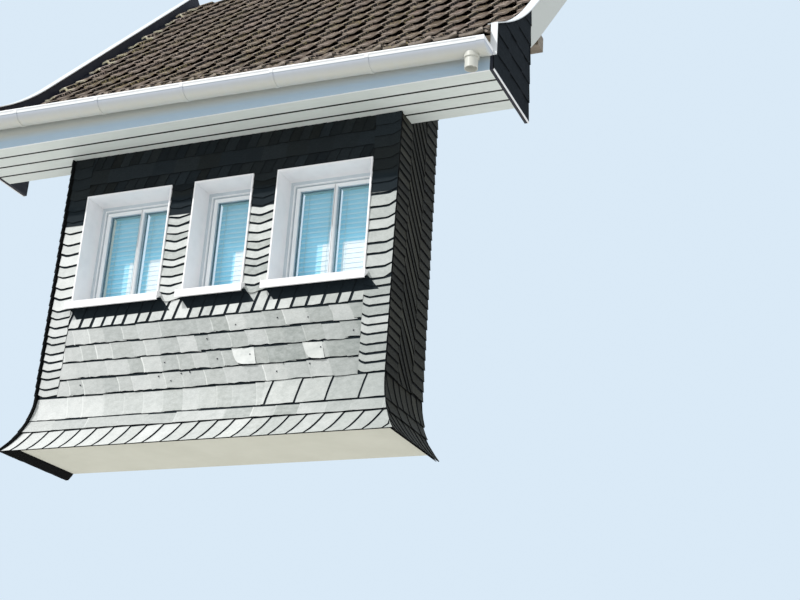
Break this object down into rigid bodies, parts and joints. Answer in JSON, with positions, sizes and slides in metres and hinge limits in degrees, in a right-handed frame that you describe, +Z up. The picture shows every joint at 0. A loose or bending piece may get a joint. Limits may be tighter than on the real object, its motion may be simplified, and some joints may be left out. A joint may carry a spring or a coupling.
{
  "type": "slate-hung box bay with windows under eaves",
  "caption": "Box bay hung with slates on a house wall, with framed windows, a flared slate skirt and a white underside, covered by tiled eaves with soffit, gutter and closing boards.",
  "frame": {"origin": "middle of the ledger's flat back face, on the plane of the house wall", "axes": "+X to the right seen from outside, +Y into the house wall, +Z up; the windows face -Y"},
  "size_m": [5.079, 3.6934, 6.535],
  "materials": {
    "timber": "planed softwood",
    "render": "painted smooth render",
    "slate": "split natural slate",
    "white_trim": "white PVC, satin",
    "glass": "clear float glass",
    "sill_metal": "white powder-coated",
    "blind": "white lacquered slats",
    "soffit_paint": "painted boards",
    "gutter_white": "white PVC",
    "cap_metal": "white coated sheet",
    "tile": "weathered clay"
  },
  "bodies": {
    "root": {"ledger": "timber", "floor_joists": "timber", "front_beam": "timber", "floor_deck": "timber", "underside_panel": "render", "skirt_blocks": "timber", "wall_apron": "render", "wall_head": "render", "post_left": "render", "pier_left": "render", "pier_right": "render", "post_right": "render", "cheek_left": "render", "cheek_right": "render", "ceiling": "render", "slate_front": "slate", "slate_left": "slate", "slate_right": "slate", "skirt_front": "slate", "skirt_left": "slate", "skirt_right": "slate", "lining_left": "white_trim", "lining_middle": "white_trim", "lining_right": "white_trim", "frame_left": "white_trim", "frame_middle": "white_trim", "frame_right": "white_trim", "glass_left": "glass", "glass_middle": "glass", "glass_right": "glass", "sill_left": "sill_metal", "sill_middle": "sill_metal", "sill_right": "sill_metal", "blinds": "blind", "soffit_boards": "soffit_paint", "soffit_upright": "soffit_paint", "soffit_bearers": "timber", "fascia": "soffit_paint", "gutter": "gutter_white", "gutter_brackets": "gutter_white", "gutter_outlet": "gutter_white", "gutter_ends": "gutter_white", "closing_board_left": "slate", "closing_board_right": "slate", "verge_board_right": "soffit_paint", "verge_caps": "cap_metal", "rafters": "timber", "wall_plate": "timber", "roof_boarding": "timber", "battens": "timber", "roof_tiles": "tile"}
  },
  "joints": []
}
